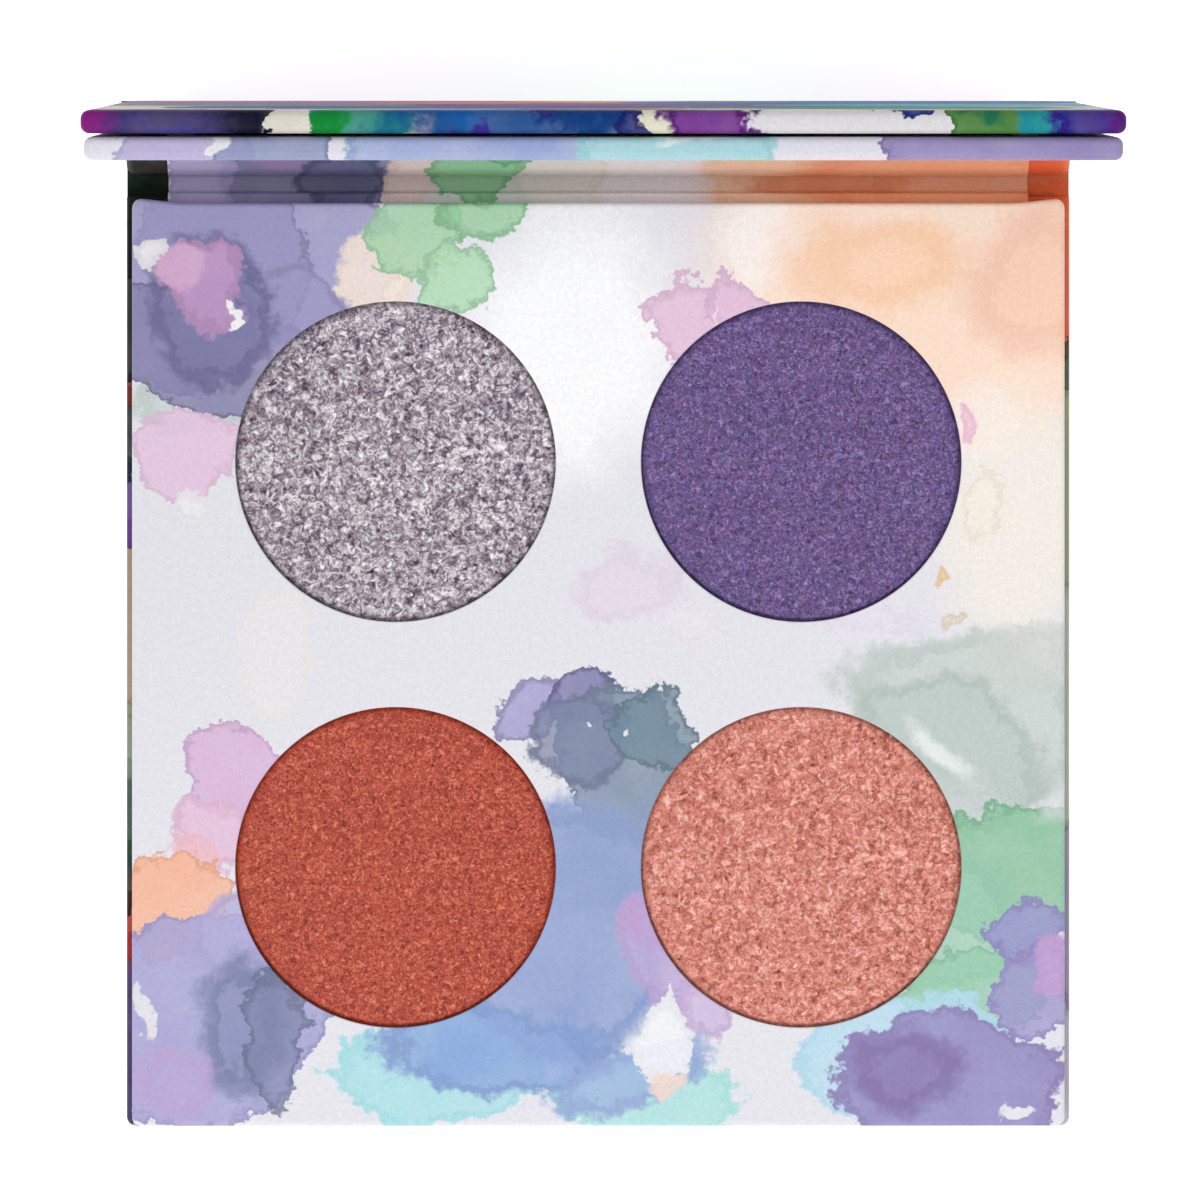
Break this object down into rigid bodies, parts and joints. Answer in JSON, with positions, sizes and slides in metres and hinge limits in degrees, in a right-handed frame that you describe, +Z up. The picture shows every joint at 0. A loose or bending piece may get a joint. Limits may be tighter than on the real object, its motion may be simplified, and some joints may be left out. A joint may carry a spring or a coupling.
{
  "type": "eyeshadow palette",
  "caption": "Square book-style eyeshadow palette in printed wrapped board, with round pressed-powder pans in a tray, a spine and a mirrored lid on paper creases.",
  "frame": {"origin": "centre of the back cover board's underside, on the table", "axes": "+X to the right seen from the front, +Y from the front edge towards the hinge, +Z up out of the tray; the lid stands open as in use"},
  "size_m": [0.1, 0.1083, 0.1145],
  "materials": {
    "greyboard": "matte",
    "outer_print": "satin",
    "inner_print": "satin",
    "pan_metal": "satin",
    "silver_powder": "satin",
    "violet_powder": "satin",
    "copper_powder": "satin",
    "rose_powder": "satin",
    "adhesive": "matte",
    "magnet": "satin",
    "mirror_glass": "polished"
  },
  "bodies": {
    "base": {"back_board": "greyboard", "back_board_wrap": "outer_print", "tray_floor_board": "greyboard", "pan_frame_lower_board": "greyboard", "pan_frame_upper_board": "greyboard", "tray_top_board": "greyboard", "tray_wrap": "inner_print", "pan_silver": "pan_metal", "pan_violet": "pan_metal", "pan_copper": "pan_metal", "pan_rose": "pan_metal", "powder_silver": "silver_powder", "powder_violet": "violet_powder", "powder_copper": "copper_powder", "powder_rose": "rose_powder", "pan_glue_silver": "adhesive", "pan_glue_violet": "adhesive", "pan_glue_copper": "adhesive", "pan_glue_rose": "adhesive", "tray_magnet_left": "magnet", "tray_magnet_right": "magnet", "lower_crease_paper": "outer_print"},
    "spine": {"spine_board": "greyboard", "spine_wrap": "outer_print", "hinge_liner": "inner_print"},
    "lid": {"front_board": "greyboard", "front_board_wrap": "outer_print", "lid_frame_board": "greyboard", "lid_frame_wrap": "inner_print", "mirror": "mirror_glass", "mirror_adhesive": "adhesive", "lid_magnet_left": "magnet", "lid_magnet_right": "magnet", "upper_crease_paper": "outer_print"}
  },
  "joints": [
    {"name": "lower_crease", "type": "hinge", "parent": "base", "child": "spine", "pos_m": [0, 0.0532, 0], "axis": [1, 0, 0], "range_deg": [-65, 25], "deforming": ["lower_crease_paper", "hinge_liner"]},
    {"name": "upper_crease", "type": "hinge", "parent": "spine", "child": "lid", "pos_m": [0, 0.05878, 0.01196], "axis": [1, 0, 0], "range_deg": [-28.18, 61.82], "deforming": ["upper_crease_paper", "hinge_liner"]}
  ]
}
